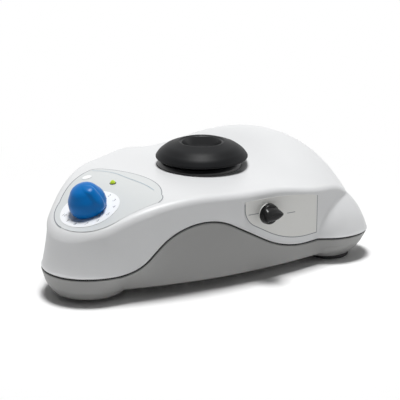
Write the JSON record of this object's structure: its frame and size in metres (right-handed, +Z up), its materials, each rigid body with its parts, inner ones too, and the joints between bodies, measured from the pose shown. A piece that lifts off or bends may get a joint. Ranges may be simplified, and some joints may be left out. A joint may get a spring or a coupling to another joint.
{
  "type": "vortex mixer",
  "caption": "Low three-pod bench mixer with an orbiting rubber cup for test tubes, a speed knob on the sloping nose and a mode knob on the side wall.",
  "frame": {"origin": "on the resting surface, under the middle of the outline", "axes": "+Z up, -Y towards the nose with the speed knob, +X towards the wall with the mode knob"},
  "size_m": [0.1798, 0.22, 0.0765],
  "materials": {
    "housing_white": "satin",
    "base_grey": "satin",
    "black_rubber": "matte",
    "printed_film": "satin",
    "blue_gloss": "gloss",
    "lamp_green": "gloss",
    "black_gloss": "gloss",
    "black_plastic": "matte",
    "bright_steel": "brushed",
    "bearing_steel": "polished",
    "zinc_plate": "satin",
    "cast_aluminium": "satin",
    "brass_metal": "satin",
    "board_green": "satin",
    "coil_tape": "satin",
    "core_steel": "satin"
  },
  "bodies": {
    "housing": {"top_cover": "housing_white", "base_pan": "base_grey", "seam_gasket": "black_rubber", "front_film": "printed_film", "side_film": "printed_film", "front_foot": "black_rubber", "right_foot": "black_rubber", "left_foot": "black_rubber", "cover_screws": "bright_steel", "speed_pot_body": "zinc_plate", "speed_pot_nut": "bright_steel", "power_led": "lamp_green", "led_holder": "black_plastic", "mode_switch_body": "black_plastic", "mode_switch_nut": "bright_steel", "splash_collar": "black_plastic", "neck_boot": "black_rubber", "guide_posts": "bright_steel", "post_nuts": "bright_steel", "suspension_springs": "bright_steel", "control_board": "board_green", "board_screws": "bright_steel", "touch_sensor": "black_plastic", "board_components": "black_plastic", "transformer_core": "core_steel", "transformer_coil": "coil_tape", "inlet_body": "black_plastic", "inlet_blades": "brass_metal"},
    "carriage": {"motor_carriage": "zinc_plate", "motor_can": "zinc_plate", "motor_end_cap": "black_plastic", "motor_screws": "bright_steel"},
    "rotor": {"motor_shaft": "bearing_steel", "eccentric_crank": "bright_steel", "eccentric_pin": "bearing_steel", "bearing_inner_ring": "bearing_steel", "bearing_balls": "bearing_steel"},
    "head": {"cup_head": "black_rubber", "head_hub": "cast_aluminium", "bearing_outer_ring": "bearing_steel"},
    "speed_dial": {"speed_knob": "blue_gloss", "speed_pot_shaft": "brass_metal"},
    "mode_lever": {"mode_knob": "black_gloss", "mode_switch_shaft": "brass_metal"}
  },
  "joints": [
    {"name": "touch_press", "type": "slide", "parent": "housing", "child": "carriage", "axis": [0, 0, 1], "range_m": [-0.0015, 0], "stiffness_N_per_m": 3000, "springref_m": 0.004, "deforming": ["suspension_springs"]},
    {"name": "motor_spin", "type": "hinge", "parent": "carriage", "child": "rotor", "pos_m": [0, 0.0207, 0.045], "axis": [0, 0, 1], "continuous": true, "deforming": ["neck_boot"]},
    {"name": "head_orbit", "type": "hinge", "parent": "rotor", "child": "head", "pos_m": [0.00225, 0.0207, 0.0528], "axis": [0, 0, 1], "continuous": true},
    {"name": "speed_turn", "type": "hinge", "parent": "housing", "child": "speed_dial", "pos_m": [0, -0.0787, 0.05323], "axis": [0, -0.3743, 0.9273], "range_deg": [-135, 135]},
    {"name": "mode_turn", "type": "hinge", "parent": "housing", "child": "mode_lever", "pos_m": [0.06784, 0.0084, 0.0445], "axis": [0.972, -0.2351, 0], "range_deg": [0, 180]}
  ],
  "couplings": [
    {"joint": "head_orbit", "follows": "motor_spin", "ratio": -1}
  ]
}
